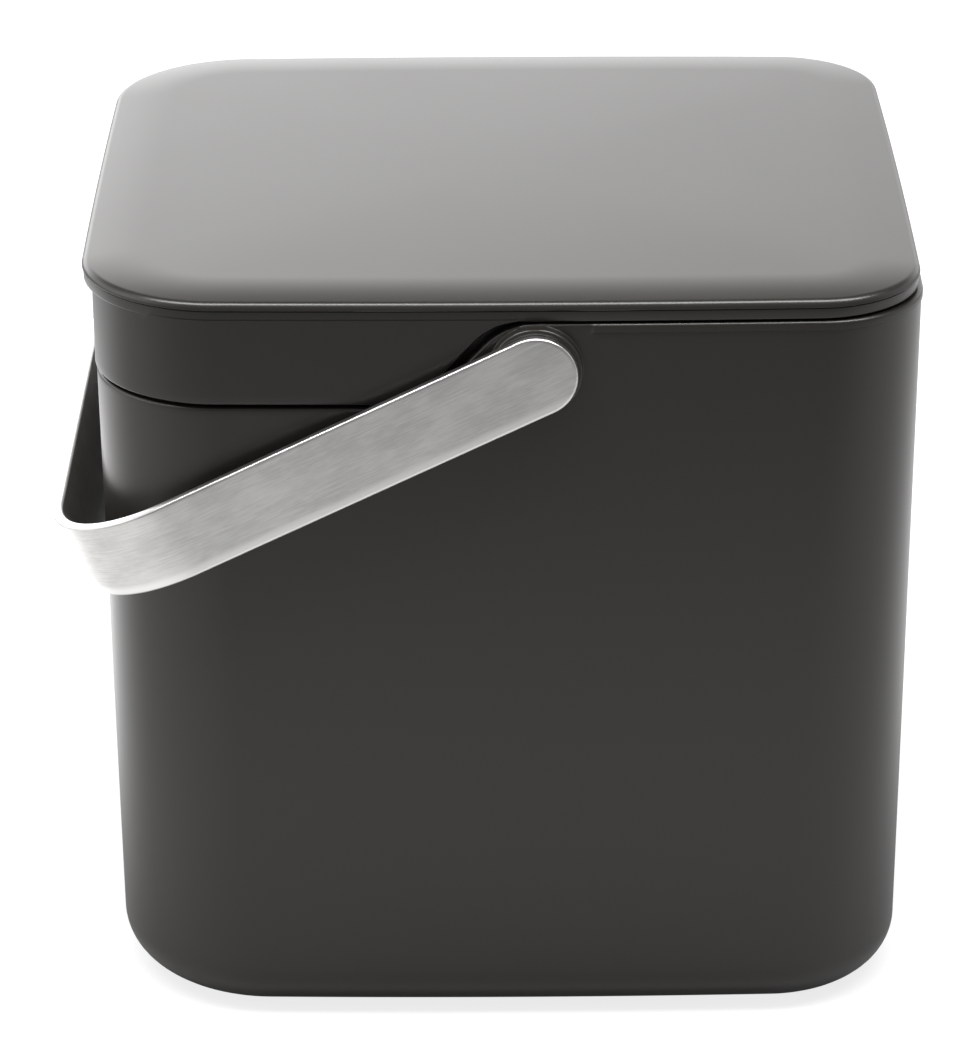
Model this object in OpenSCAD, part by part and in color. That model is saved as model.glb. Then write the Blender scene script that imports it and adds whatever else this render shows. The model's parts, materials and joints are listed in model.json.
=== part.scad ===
// Compost caddy with a hinged lid and a bent steel handle.
// X runs across the caddy, the low front faces -Y, the hinge is at +Y, and the floor is Z = 0.
// The lid is closed, and the handle hangs at the front, against the wall.

/* [Bucket] */
// Length of the bucket at its rim, front to back
body_len = 205.2; // [190:0.2:225]
// Width of the bucket at its rim
body_w = 186; // [174:0.5:200]
// Height of the rim at the back
rim_h = 193.6; // [165:0.1:215]
// Drop of the rim from the back to the front
rim_drop = 22; // [18:0.1:26]
// Thickness of the walls
wall = 2.2; // [1.8:0.1:2.8]
// Thickness of the floor
floor_t = 2.6; // [2:0.1:4]
// Lean of the walls, in millimetres for each millimetre of depth
draft = 0.004; // [0.003:0.001:0.015]
// Radius of the front corners at the rim
front_r = 31; // [26:0.5:38]
// Radius of the back corners at the rim
back_r = 25; // [20:0.5:32]
// Growth of the corner radii from the rim down to the floor
corner_growth = 9; // [0:0.5:12]
// Radius of the rounded edge round the floor
base_r = 14; // [8:0.5:18]
// Swell of the long sides between their corners
side_swell = 1.8; // [0:0.1:3]
// Swell of the front and back between their corners
end_swell = 0.8; // [0:0.1:2]
// Radius of the rounded edge of the rim
rim_r = 0.9; // [0.5:0.1:1]
// Depth of the raised band under the rim
band_h = 2.2; // [1.8:0.1:4]
// Height that the raised band stands proud
band_proud = 0.3; // [0.1:0.05:0.6]

/* [Rim step] */
// Radius of the round shoulder of the rim, over the pivot
shoulder_r = 17; // [14:0.1:22]
// Radius of the hollow at the foot of the step
foot_r = 12.4; // [9:0.1:16]
// Slope of the step between them
step_angle = 47; // [35:1:60]

/* [Lid] */
// How far the lid stands out in front of the rim
lid_front_out = 2.9; // [2.4:0.1:4]
// How far the lid's back stops short of the rim
lid_back_in = 0.5; // [0.3:0.1:2.4]
// How far the lid stands out at each side of the rim
lid_side_out = 0.4; // [0.3:0.1:1]
// Radius of the lid's front corners
lid_front_r = 34; // [28:0.5:40]
// Radius of the lid's back corners
lid_back_r = 26; // [22:0.5:32]
// Thickness of the cover
cover_t = 3.3; // [2.8:0.1:5]
// Radius of the cover's edge
edge_r = 1.8; // [1:0.1:2]
// Width of the cover's soft shoulder
pillow_w = 16; // [8:0.5:25]
// Fall of the cover's soft shoulder
pillow_drop = 1.1; // [0.3:0.1:1.2]
// Thickness of the frame's flange under the cover
flange_t = 2.8; // [2.2:0.1:4]
// Thickness of the frame's deck inside the flange
deck_t = 1.8; // [1.4:0.1:2]
// Width of the flange that the cover is seated on
seat_w = 6; // [4:0.5:10]
// Step from the cover's edge in to the flange's edge
parting = 0.35; // [0.1:0.05:0.8]
// Gap between the rim and the lid
lid_gap = 0.6; // [0.4:0.1:1]

/* [Skirt and lip] */
// How far the skirt stands out from the rim of the bucket
skirt_proud = 0.4; // [0.2:0.1:0.6]
// Thickness of the skirt
skirt_t = 1.8; // [1.4:0.1:2.4]
// Gap between the front rim and the skirt
skirt_gap = 1; // [0.6:0.1:1.5]
// Further gap in front of the rim's step
step_gap = 1.9; // [1:0.1:3]
// Reach of the lip below the rim
lip_h = 5; // [3:0.1:7]
// Thickness of the lip
lip_t = 1.5; // [1.2:0.1:2]
// Gap between the bucket's wall and the lip
lip_gap = 1.7; // [1.4:0.1:2.4]

/* [Hinge] */
// Distance of the hinge's axis in from the back of the bucket
hinge_in = 2.4; // [2:0.1:2.5]
// Distance of the hinge's axis below the lid
hinge_down = 4; // [3.9:0.1:4.5]
// Radius of the lid's knuckle
knuckle_r = 2.6; // [2.4:0.1:2.7]
// Radius of the bucket's ears
ear_r = 2.4; // [2.2:0.1:2.6]
// Reach of the knuckle's heel behind the axis, which stops the open lid
heel = 2.7; // [2.65:0.05:2.8]
// Height of the heel above the axis
heel_h = 1.5; // [1.3:0.05:1.6]
// Distance of the ears in from the sides of the bucket
ear_in = 34; // [28:0.5:44]
// Length of each ear
ear_len = 10; // [7:0.5:14]
// Gap between the knuckle and an ear
hinge_gap = 0.5; // [0.3:0.1:0.8]
// Height of the gap under the knuckle
notch_gap = 0.35; // [0.3:0.05:0.5]
// Radius of the hinge pins
pin_r = 1.1; // [1:0.05:1.3]
// Length of a pin inside the knuckle
pin_in = 6; // [4:0.5:9]

/* [Handle] */
// Distance of the pivot from the front of the bucket
pivot_back = 109.4; // [100:0.2:118]
// Distance of the pivot below the rim
pivot_down = 11.7; // [9.5:0.1:13]
// Angle of the resting handle below the horizontal
rest_angle = 26; // [20:0.5:32]
// Width of the strap
strap_w = 20.5; // [16:0.5:21]
// Thickness of the strap
strap_t = 2.8; // [2:0.1:3.5]
// Gap between the bucket's wall and the strap's arms
strap_out = 3.2; // [2.6:0.1:5]
// Radius of the strap's bends, outside
bend_r = 33; // [28:0.5:42]
// Gap between the resting strap and the front wall
rest_gap = 0.9; // [0.3:0.1:1.2]
// Radius of the round bosses on the bucket, which the rim cuts off at the top
boss_r = 11.4; // [10.4:0.1:12]
// Distance from the rim down to the cut top of a boss
boss_drop = 0.5; // [0.3:0.1:1]
// Chamfer of the bosses
boss_chamfer = 0.7; // [0.3:0.1:1]
// Gap between a boss and the strap
boss_gap = 0.3; // [0.2:0.1:0.5]
// Radius of the pivot studs
stud_r = 4; // [3:0.1:5]
// Radius of the spigot that holds a stud's cap
spigot_r = 2.2; // [1.6:0.1:2.6]
// Radius of the studs' caps
cap_r = 7; // [6:0.1:7.2]
// Thickness of the studs' caps
cap_t = 1.8; // [1.4:0.1:2]

/* [Hidden] */
$fn = 64;

// Fits: a shaft turning in its bore, a part held in its bore, the cap's play along and round the stud
run_fit = 0.05;
hold_fit = 0.02;
cap_play = 0.1;
cap_room = 0.4;

// How far cutters and roots reach past the faces that they cross
over = 1;
root = 0.5;

// Size of the lid, and how far its middle lies in front of the bucket's
lid_len = body_len + lid_front_out - lid_back_in;
lid_w = body_w + 2 * lid_side_out;
lid_shift = (lid_front_out + lid_back_in) / 2;

// Heights of the lid's layers
front_rim = rim_h - rim_drop;
deck_z = rim_h + lid_gap;
seat_z = deck_z + flange_t;
lid_top = seat_z + cover_t;

// Hinge axis, and the floor of the notch that the knuckle turns in
hinge_y = body_len / 2 - hinge_in;
hinge_z = deck_z - hinge_down;
notch_z = hinge_z - knuckle_r - notch_gap;
notch_half = body_w / 2 - ear_in - ear_len;
knuckle_len = 2 * (notch_half - hinge_gap);

// Pivot axis, and the planes across it from the cap out to the strap
pivot_y = pivot_back - body_len / 2;
pivot_z = rim_h - pivot_down;
strap_in_x = body_w / 2 + strap_out;
strap_out_x = strap_in_x + strap_t;
boss_x = strap_in_x - boss_gap;
cap_x = body_w / 2 - wall + cap_t + cap_play + 0.2;
cap_out_x = cap_x - cap_play;
cap_in_x = cap_out_x - cap_t;

// Reach of the strap, from the pivot to the inside of its front, so that its lower edge rests by the front wall
strap_reach = (body_len / 2 + rest_gap + pivot_y + strap_w / 2 * sin(rest_angle)
    - draft * (rim_h - pivot_z + strap_w / 2 * cos(rest_angle)))
    / (cos(rest_angle) + draft * sin(rest_angle));

// Middles of the two arcs of the rim's step, worked out so that one straight slope is tangent to both
shoulder_y = pivot_y;
shoulder_z = rim_h - shoulder_r;
foot_z = front_rim + foot_r;
foot_y = shoulder_y - (shoulder_r + foot_r - (foot_z - shoulder_z) * cos(step_angle)) / sin(step_angle);

// Steps along each kind of curve
corner_steps = 9;
end_steps = 5;
arc_steps = 5;
fillet_steps = 5;
round_steps = 3;

// ---- Plan outlines ----

function arc(cx, cy, r, from, to, steps) =
    [for (i = [0:steps]) let (a = from + (to - from) * i / steps) [cx + r * cos(a), cy + r * sin(a)]];

function between(a, b, steps) = [for (i = [1:steps - 1]) a + (b - a) * i / steps];

function reversed(list) = [for (i = [len(list) - 1:-1:0]) list[i]];

// Rounded rectangle, counter-clockwise from the right end of the back right corner.
// stations are the Y places on the long sides that get a point of their own.
function plan(l, w, fr, br, stations) =
    let (x = w / 2, y = l / 2)
    concat(
        arc(x - br, y - br, br, 0, 90, corner_steps),
        between([x - br, y], [br - x, y], end_steps),
        arc(br - x, y - br, br, 90, 180, corner_steps),
        [for (s = reversed(stations)) [-x, s]],
        arc(fr - x, fr - y, fr, 180, 270, corner_steps),
        between([fr - x, -y], [x - fr, -y], end_steps),
        arc(x - fr, fr - y, fr, 270, 360, corner_steps),
        [for (s = stations) [x, s]]);

// Draws the sides and ends in towards the corners, so that they swell in the middle
function swollen(points, l, w, side, end) =
    [for (p = points)
        let (u = 2 * p.x / w, v = 2 * p.y / l)
        [p.x - sign(p.x) * side * pow(u * v, 2), p.y - sign(p.y) * end * pow(u * v, 2)]];

// ---- Rim line, seen from the side ----

// The stepped rim as [y, z] points from the foot of the step to its shoulder, moved out by gap
function step_line(gap) =
    concat(
        arc(foot_y, foot_z, foot_r - gap, 270, 270 + step_angle, arc_steps),
        arc(shoulder_y, shoulder_z, shoulder_r + gap, 90 + step_angle, 90, arc_steps));

// Height of the rim at a place along Y
function rim_z(y) =
    let (s = step_line(0))
    y <= s[0].x ? front_rim : y >= s[len(s) - 1].x ? rim_h : lookup(y, s);

// Everything below the rim line, moved out by gap and forward by shift, as a block across the caddy
module under_rim(gap, shift) {
    far = body_len;
    line = step_line(gap);
    outline = concat([[-far, front_rim + gap]], line, [[far, rim_h + gap], [far, 0], [-far, 0]]);
    translate([0, -shift, 0])
        rotate([90, 0, 90])
            linear_extrude(2 * body_w, center = true)
                polygon(outline);
}

// ---- Lofts ----

// Skins a list of closed rings, with a flat cap on the first and the last
module loft(rings) {
    n = len(rings[0]);
    m = len(rings);
    strips = [for (k = [0:m - 2], i = [0:n - 1], t = [0, 1])
        let (j = (i + 1) % n, a = k * n + i, b = k * n + j, c = a + n, d = b + n)
        t == 0 ? [a, d, b] : [a, c, d]];
    caps = [[for (i = [0:n - 1]) i], [for (i = [n - 1:-1:0]) (m - 1) * n + i]];
    polyhedron([for (r = rings) each r], concat(strips, caps), convexity = 6);
}

// ---- Bucket ----

// Places along the long sides: the step of the rim, the start of the raised band and a few between the corners
band_y = pivot_y + 13.6;
side_stations = concat(
    [foot_y - 24, foot_y - 12],
    [for (p = step_line(0)) p.x],
    [band_y - 0.3, band_y + 0.3, band_y + 14, band_y + 28]);

function body_outline(inset, depth) =
    let (l = body_len - 2 * inset, w = body_w - 2 * inset, grow = corner_growth * depth / rim_h - inset)
    swollen(plan(l, w, front_r + grow, back_r + grow, side_stations), l, w, side_swell, end_swell);

// A level ring of the bucket, in from the drafted outer face
function level_ring(inset, z) =
    [for (p = body_outline(inset + draft * (rim_h - z), rim_h - z)) [p.x, p.y, z]];

// A ring that follows the stepped rim, down from it by drop; proud widens it where the raised band runs
function rim_ring(inset, drop, proud = 0) =
    let (lean = draft * drop,
        plain = body_outline(inset + lean, drop),
        wide = body_outline(inset + lean - proud, drop))
    [for (i = [0:len(plain) - 1])
        let (p = plain[i], q = p.y >= band_y ? wide[i] : p)
        [q.x - sign(q.x) * draft * (rim_h - rim_z(p.y)), q.y, rim_z(p.y) - drop]];

function fillet(inset, z, r) =
    [for (i = [0:fillet_steps])
        let (a = 90 - 90 * i / fillet_steps)
        level_ring(inset + r * (1 - cos(a)), z + r * (1 - sin(a)))];

module bucket_shell() {
    inner_r = base_r - wall;
    loft(concat(
        fillet(0, 0, base_r),
        [rim_ring(0, band_h + band_proud), rim_ring(0, band_h, band_proud)],
        [for (i = [0:round_steps])
            let (a = 90 * i / round_steps)
            rim_ring(rim_r * (1 - cos(a)), rim_r * (1 - sin(a)), band_proud)],
        [rim_ring(wall, 0)],
        reversed(fillet(wall, floor_t, inner_r))));
}

// Boss for the handle, on the right; it starts inside the wall
module boss() {
    start = body_w / 2 - wall + root;
    intersection() {
        translate([0, pivot_y, pivot_z])
            rotate([0, 90, 0])
                rotate_extrude()
                    polygon([[0, start], [boss_r, start], [boss_r, boss_x - boss_chamfer],
                        [boss_r - boss_chamfer, boss_x], [0, boss_x]]);
        under_rim(-boss_drop, 0);
    }
}

// A cylinder along X, from one place to another
module rod(x0, x1, r, y, z) {
    translate([x0, y, z])
        rotate([0, 90, 0])
            cylinder(r = r, h = x1 - x0);
}

// Ear that carries a hinge pin, on the right, with the bracket that ties it to the back wall
module ear() {
    bracket_y = hinge_y - ear_r;
    bracket_h = 2.4 * ear_r;
    rod(notch_half, notch_half + ear_len, ear_r, hinge_y, hinge_z);
    translate([notch_half, bracket_y, hinge_z - bracket_h])
        cube([ear_len, body_len / 2 - root - bracket_y, bracket_h]);
}

module bucket() {
    color([0.23, 0.225, 0.215])
        difference() {
            union() {
                difference() {
                    bucket_shell();
                    translate([-notch_half, hinge_y - wall - 2 * lip_gap, notch_z])
                        cube([2 * notch_half, body_len / 2, rim_h]);
                }
                for (s = [0, 1])
                    mirror([s, 0, 0]) {
                        boss();
                        ear();
                    }
            }
            for (s = [0, 1])
                mirror([s, 0, 0]) {
                    rod(body_w / 2 - wall - over, boss_x + over, stud_r + run_fit, pivot_y, pivot_z);
                    rod(body_w / 2 - wall - 2 * over, cap_x, cap_r + cap_room, pivot_y, pivot_z);
                    rod(notch_half - over, notch_half + ear_len + over, pin_r + hold_fit, hinge_y, hinge_z);
                }
        }
}

// ---- Lid ----

lid_stations = [for (i = [-2:2]) i * lid_len / 12];

function lid_outline(inset) =
    let (l = lid_len - 2 * inset, w = lid_w - 2 * inset,
        points = plan(l, w, max(lid_front_r - inset, edge_r), max(lid_back_r - inset, edge_r), lid_stations))
    [for (p = swollen(points, l, w, side_swell, end_swell)) [p.x, p.y - lid_shift]];

// Fall of the soft shoulder at a distance in from the edge
function shoulder_fall(inset) = pillow_drop * pow(1 - inset / pillow_w, 2);

// [inset, z] of the cover's edge: a small chamfer, a round edge, then the soft shoulder up to the flat top
function cover_profile() =
    let (slope = atan(2 * pillow_drop / pillow_w * (1 - edge_r / pillow_w)),
        meet = edge_r * (1 - sin(slope)),
        mid_z = lid_top - shoulder_fall(meet) - edge_r * cos(slope))
    concat(
        [[0.25, seat_z]],
        [for (i = [0:arc_steps])
            let (a = (90 - slope) * i / arc_steps)
            [edge_r * (1 - cos(a)), mid_z + edge_r * sin(a)]],
        [for (i = [1:arc_steps])
            let (d = meet + (pillow_w - meet) * i / arc_steps)
            [d, lid_top - shoulder_fall(d)]]);

module lid_cover() {
    color([0.30, 0.295, 0.285])
        loft([for (q = cover_profile()) [for (p = lid_outline(q.x)) [p.x, p.y, q.y]]]);
}

// A closed band between two outlines, from z0 up to z1
module band(outer, inner, z0, z1) {
    translate([0, 0, z0])
        linear_extrude(z1 - z0)
            difference() {
                polygon(outer);
                polygon(inner);
            }
}

module skirt() {
    difference() {
        band(body_outline(-skirt_proud, 0), body_outline(skirt_t - skirt_proud, 0), front_rim, deck_z + root);
        under_rim(skirt_gap, step_gap);
        translate([-body_w, shoulder_y, 0])
            cube([2 * body_w, body_len, 2 * rim_h]);
    }
}

// Lip inside the rim, left out at the back, where it would strike the wall as the lid opens
module lip() {
    gap_half = max(notch_half + ear_len + 2 * lip_gap, body_w / 2 - wall - back_r / 2);
    difference() {
        band(body_outline(wall + lip_gap, 0), body_outline(wall + lip_gap + lip_t, 0),
            front_rim - 2 * lip_h, deck_z + root);
        under_rim(-lip_h, 0);
        translate([-gap_half, body_len / 4, 0])
            cube([2 * gap_half, body_len, 2 * rim_h]);
    }
}

// Knuckle of the hinge, with the web that ties it to the deck and the heel that stops the open lid
module knuckle() {
    web_y = hinge_y - 3 * knuckle_r;
    deck_back = lid_len / 2 - lid_shift - 2 * parting;
    half = knuckle_len / 2;
    rod(-half, half, knuckle_r, hinge_y, hinge_z);
    translate([-half, web_y, hinge_z + knuckle_r / 4])
        cube([knuckle_len, deck_back - web_y, deck_z + root - hinge_z - knuckle_r / 4]);
    translate([-half, hinge_y - knuckle_r, hinge_z])
        cube([knuckle_len, knuckle_r + heel, heel_h]);
}

module lid_frame() {
    color([0.23, 0.225, 0.215])
        difference() {
            union() {
                translate([0, 0, deck_z])
                    linear_extrude(flange_t)
                        polygon(lid_outline(parting));
                skirt();
                lip();
                knuckle();
            }
            translate([0, 0, deck_z + deck_t])
                linear_extrude(flange_t)
                    polygon(lid_outline(seat_w));
            for (s = [0, 1])
                mirror([s, 0, 0])
                    rod(knuckle_len / 2 - pin_in - hinge_gap, knuckle_len, pin_r + run_fit, hinge_y, hinge_z);
        }
}

// ---- Handle ----

// A U in plan, pivot line on X, open towards +Y, with the bends of radius r
module u_plan(half, reach, r) {
    translate([-half, r - reach])
        square([2 * half, reach + strap_w - r]);
    translate([r - half, -reach])
        square([2 * (half - r), reach]);
    for (s = [-1, 1])
        translate([s * (half - r), r - reach])
            circle(r);
}

module handle_strap() {
    reach_out = strap_reach + strap_t;
    color([0.66, 0.65, 0.64])
        translate([0, pivot_y, pivot_z])
            rotate([rest_angle, 0, 0])
                intersection() {
                    linear_extrude(strap_w, center = true)
                        difference() {
                            u_plan(strap_out_x, reach_out, bend_r);
                            u_plan(strap_in_x, strap_reach, bend_r - strap_t);
                            translate([-strap_in_x, 0])
                                square([2 * strap_in_x, 2 * strap_w]);
                        }
                    union() {
                        rod(-strap_out_x - over, strap_out_x + over, strap_w / 2, 0, 0);
                        translate([-strap_out_x - over, -reach_out - over, -strap_w / 2 - over])
                            cube([2 * (strap_out_x + over), reach_out + over, strap_w + 2 * over]);
                    }
                }
}

// Stud on the right: it turns in the boss and holds the cap on its spigot
module pivot_stud() {
    color([0.60, 0.60, 0.60])
        union() {
            rod(cap_out_x, strap_in_x, stud_r, pivot_y, pivot_z);
            rod(cap_in_x, cap_out_x + root, spigot_r, pivot_y, pivot_z);
        }
}

module stud_cap() {
    color([0.23, 0.225, 0.215])
        difference() {
            rod(cap_in_x, cap_out_x, cap_r, pivot_y, pivot_z);
            rod(cap_in_x - over, cap_out_x + over, spigot_r + hold_fit, pivot_y, pivot_z);
        }
}

module hinge_pin() {
    color([0.60, 0.60, 0.60])
        rod(knuckle_len / 2 - pin_in, notch_half + ear_len, pin_r, hinge_y, hinge_z);
}

module pivot_stud_left() {
    mirror([1, 0, 0]) pivot_stud();
}

module pivot_stud_right() {
    pivot_stud();
}

module stud_cap_left() {
    mirror([1, 0, 0]) stud_cap();
}

module stud_cap_right() {
    stud_cap();
}

module hinge_pin_left() {
    mirror([1, 0, 0]) hinge_pin();
}

module hinge_pin_right() {
    hinge_pin();
}

bucket();
lid_cover();
lid_frame();
handle_strap();
pivot_stud_left();
pivot_stud_right();
stud_cap_left();
stud_cap_right();
hinge_pin_left();
hinge_pin_right();
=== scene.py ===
"""Compost caddy with a hinged lid and a bent steel handle: its moulded and brushed surfaces, and its stage.

Lengths are in metres. X runs across the caddy, the low front faces -Y, the hinge is at +Y, and the floor is Z = 0.
"""

import json

import bmesh
import bpy
import numpy as np
from mathutils import Matrix, Vector


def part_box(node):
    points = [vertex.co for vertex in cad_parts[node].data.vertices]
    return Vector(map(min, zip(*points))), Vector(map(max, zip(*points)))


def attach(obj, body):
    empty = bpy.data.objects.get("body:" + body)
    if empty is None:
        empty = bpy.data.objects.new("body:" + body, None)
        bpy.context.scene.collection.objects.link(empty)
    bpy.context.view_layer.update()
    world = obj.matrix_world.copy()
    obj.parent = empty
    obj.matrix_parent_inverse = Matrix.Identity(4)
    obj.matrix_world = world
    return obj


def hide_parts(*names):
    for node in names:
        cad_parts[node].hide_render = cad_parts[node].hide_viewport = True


bl_info = {
    "name": "Compost Caddy",
    "version": (1, 0, 0),
    "blender": (4, 5, 0),
    "location": "View3D > Sidebar > Caddy",
    "description": "Builds a small kitchen compost caddy with a hinged lid and a swinging steel handle",
    "category": "Add Mesh",
}

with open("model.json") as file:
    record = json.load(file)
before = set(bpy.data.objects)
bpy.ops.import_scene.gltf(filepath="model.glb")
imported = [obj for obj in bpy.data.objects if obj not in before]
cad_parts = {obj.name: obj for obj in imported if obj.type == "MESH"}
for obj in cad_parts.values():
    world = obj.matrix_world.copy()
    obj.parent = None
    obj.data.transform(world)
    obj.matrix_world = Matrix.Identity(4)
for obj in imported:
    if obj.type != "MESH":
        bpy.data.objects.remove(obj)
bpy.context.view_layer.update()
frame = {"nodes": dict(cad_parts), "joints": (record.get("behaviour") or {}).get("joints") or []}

JOINT_PLACES = {joint["name"]: Vector((0.0, *joint["pos_m"][1:])) for joint in frame["joints"]}
PIVOT = JOINT_PLACES["handle_swing"]
HINGE = JOINT_PLACES["lid_hinge"]

BUCKET_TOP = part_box("bucket")[1].z
LID_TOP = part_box("lid_cover")[1].z
STEEL_NODES = ("pivot_stud_left", "pivot_stud_right", "hinge_pin_left", "hinge_pin_right")
CAP_NODES = ("stud_cap_left", "stud_cap_right")

# Fixed measures of the fittings and of the small roundings, which no setting changes.
STRAP_T = 0.0028  # thickness of the strap
BOSS_STAND = 0.0029  # from the rim's side out to a boss's face
STUD_BORE_R = 0.00405
CAP_RECESS_R = 0.0074
PIN_HOLE_R = 0.00112  # of the hole in an ear
KNUCKLE_BORE_R = 0.00115
KNUCKLE_R = 0.0026
KNUCKLE_END_GAP = 0.0005  # from the knuckle's end to an ear
NOTCH_GAP = 0.00035  # under the knuckle
NOTCH_CORNER = 0.0004
INNER_RIM_R = 0.0005
COVER_CROWN = 0.00025
BAND_START = 0.0136  # from the pivot back to the start of the raised band
BAND_BLEND = 0.0006  # half the length over which the band rises

# Spacings of the places along the long sides.
COARSE = 0.0016
FINE = 0.00055
BAND_FINE = 0.0003

# Shares of a ring's size at which the flat faces are ringed, from the middle out.
CAP_SHARES = (0.03, 0.5, 0.9)
FLOOR_SHARES = (0.03, 0.3, 0.6, 0.85)

STAGE_HALF = 6
STAGE_SINK = 0.00005  # below the caddy's base, so that the two faces don't flicker

# Name, place, aim, width and length, and level of each softbox.
SOFTBOXES = (
    ("softbox_top", (0.32, 0.0, 1.55), (0, 0, 0.2), (2.2, 0.45), 14.5),
    ("softbox_left", (0.35, -1.5, 0.7), (0, 0, 0.1), (0.9, 1.0), 0.6),
)


# ---- Settings ----


def length(name, metres, description, lowest=0.0):
    """A setting in metres."""
    return bpy.props.FloatProperty(
        name=name, description=description, default=metres, min=lowest, unit="LENGTH", subtype="DISTANCE", precision=5
    )


def angle(name, degrees, description):
    """A setting given in degrees and kept in radians."""
    return bpy.props.FloatProperty(
        name=name, description=description, default=float(np.radians(degrees)), unit="ROTATION", subtype="ANGLE"
    )


def amount(name, value, description, top=1.0):
    """A plain number from 0 to top."""
    return bpy.props.FloatProperty(name=name, description=description, default=value, min=0, max=top)


def colour(name, value, description):
    """A colour, as linear red, green and blue."""
    return bpy.props.FloatVectorProperty(
        name=name, description=description, default=value, min=0, max=1, size=3, subtype="COLOR"
    )


class CaddyBucketSettings(bpy.types.PropertyGroup):
    """Sizes of the bucket and of its stepped rim"""

    rim_len: length("Rim length", 0.2052, "Length of the rim, front to back")
    rim_w: length("Rim width", 0.186, "Width of the rim")
    rim_h: length("Rim height", BUCKET_TOP, "Height of the rim at the back")
    rim_drop: length("Rim drop", 0.022, "Drop of the rim from the back to the front")
    wall: length("Wall", 0.0022, "Thickness of the walls")
    floor_t: length("Floor", 0.0026, "Thickness of the floor")
    draft: amount("Draft", 0.004, "Lean of the walls for each unit of depth", 0.1)
    front_r: length("Front corners", 0.031, "Radius of the front corners at the rim")
    back_r: length("Back corners", 0.025, "Radius of the back corners at the rim")
    corner_growth: length("Corner growth", 0.009, "Growth of the corner radii down to the floor")
    base_r: length("Base edge", 0.014, "Radius of the edge round the floor")
    side_swell: length("Side swell", 0.0018, "Swell of the long sides between their corners")
    end_swell: length("End swell", 0.0008, "Swell of the front and back between their corners")
    rim_r: length("Rim edge", 0.0009, "Radius of the rounded edge of the rim")
    band_h: length("Band depth", 0.0022, "Depth of the raised band under the rim")
    band_proud: length("Band height", 0.0003, "Height that the raised band stands proud")
    shoulder_r: length("Shoulder", 0.017, "Radius of the round shoulder of the rim, over the pivot")
    foot_r: length("Step foot", 0.0124, "Radius of the hollow at the foot of the step")
    step_angle: angle("Step slope", 47, "Slope of the step of the rim")
    boss_r: length("Boss", 0.0114, "Radius of the bosses that carry the handle, which the rim cuts off at the top")
    notch_half: length("Notch", 0.049, "Half the width of the notch that the lid's knuckle turns in")
    ear_len: length("Ear", 0.010, "Length of each ear that holds a hinge pin")
    ear_r: length("Ear radius", 0.0024, "Radius of the ears")


class CaddyLidSettings(bpy.types.PropertyGroup):
    """Sizes of the lid's cover and frame"""

    front_out: length("Front overhang", 0.0029, "How far the lid stands out in front of the rim")
    back_in: length("Back setback", 0.0005, "How far the lid's back stops short of the rim")
    side_out: length("Side overhang", 0.0004, "How far the lid stands out at each side")
    front_r: length("Front corners", 0.034, "Radius of the lid's front corners")
    back_r: length("Back corners", 0.026, "Radius of the lid's back corners")
    edge_r: length("Edge", 0.0018, "Radius of the cover's edge")
    pillow_w: length("Shoulder width", 0.016, "Width of the cover's soft shoulder")
    pillow_drop: length("Shoulder fall", 0.0011, "Fall of the cover's soft shoulder")
    cover_t: length("Cover", 0.0033, "Thickness of the cover")
    flange_t: length("Flange", 0.0028, "Thickness of the frame's flange under the cover")
    parting: length("Parting", 0.00035, "Step from the cover's edge in to the flange")
    skirt_proud: length("Skirt stand-out", 0.0004, "How far the skirt stands out from the bucket")
    skirt_t: length("Skirt", 0.0018, "Thickness of the skirt")
    skirt_gap: length("Skirt gap", 0.001, "Gap between the front rim and the skirt")
    step_gap: length("Step gap", 0.0019, "Further gap in front of the rim's step")
    lip_h: length("Lip reach", 0.005, "Reach of the lip below the rim")
    lip_t: length("Lip", 0.0015, "Thickness of the lip")
    lip_gap: length("Lip gap", 0.0017, "Gap between the bucket's wall and the lip")
    knuckle_r: length("Knuckle", KNUCKLE_R, "Radius of the hinge knuckle")
    heel: length("Heel", 0.0027, "Reach of the knuckle's heel behind the axis")
    heel_h: length("Heel height", 0.0015, "Height of the heel above the axis")


class CaddyHandleSettings(bpy.types.PropertyGroup):
    """Sizes of the bent steel strap"""

    half: length("Half width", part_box("handle_strap")[1].x - STRAP_T, "From the middle to the inside of an arm")
    reach: length("Reach", 0.127378, "From the pivot to the inside of the front")
    width: length("Strap width", 0.0205, "Width of the strap")
    thick: length("Strap thickness", STRAP_T, "Thickness of the strap")
    bend_r: length("Bend", 0.033, "Radius of the bends, outside")
    edge_r: length("Strap edge", 0.0008, "Radius of the strap's softened edges")
    rest: angle("Rest angle", 26, "Angle of the resting handle below the horizontal")


class CaddyFinishSettings(bpy.types.PropertyGroup):
    """Colours and sheens of the caddy's materials"""

    bucket: colour("Bucket plastic", (0.0145, 0.0130, 0.0108), "Colour of the bucket's plastic")
    cover: colour("Cover plastic", (0.0160, 0.0147, 0.0125), "Colour of the cover's plastic")
    lid_frame: colour("Frame plastic", (0.0135, 0.0121, 0.0103), "Colour of the lid frame's plastic")
    steel: colour("Steel", (0.61, 0.605, 0.596), "Colour of the brushed strap")
    pin: colour("Pin steel", (0.58, 0.58, 0.57), "Colour of the turned studs and pins")
    plastic_rough: amount("Plastic roughness", 0.31, "Roughness of the moulded plastic")
    steel_rough: amount("Steel roughness", 0.30, "Roughness of the brushed steel")


class CaddyStageSettings(bpy.types.PropertyGroup):
    """Camera and light of the stage"""

    focal: bpy.props.FloatProperty(
        name="Focal length", description="Focal length of the camera", default=154.01, min=1, unit="CAMERA"
    )
    distance: length("Camera distance", 1.09596, "Distance of the camera along the floor")
    height: length("Camera height", 0.59834, "Height of the camera above the floor")
    along: length("Camera place", -0.0057, "Place of the camera along the caddy", -10.0)
    pitch: angle("Camera pitch", 24.523, "Slope of the camera's view")
    roll: angle("Camera roll", -0.29, "Turn of the camera round its view")
    lamp: amount("Softbox level", 1.0, "Level of the softboxes", 10.0)


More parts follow.
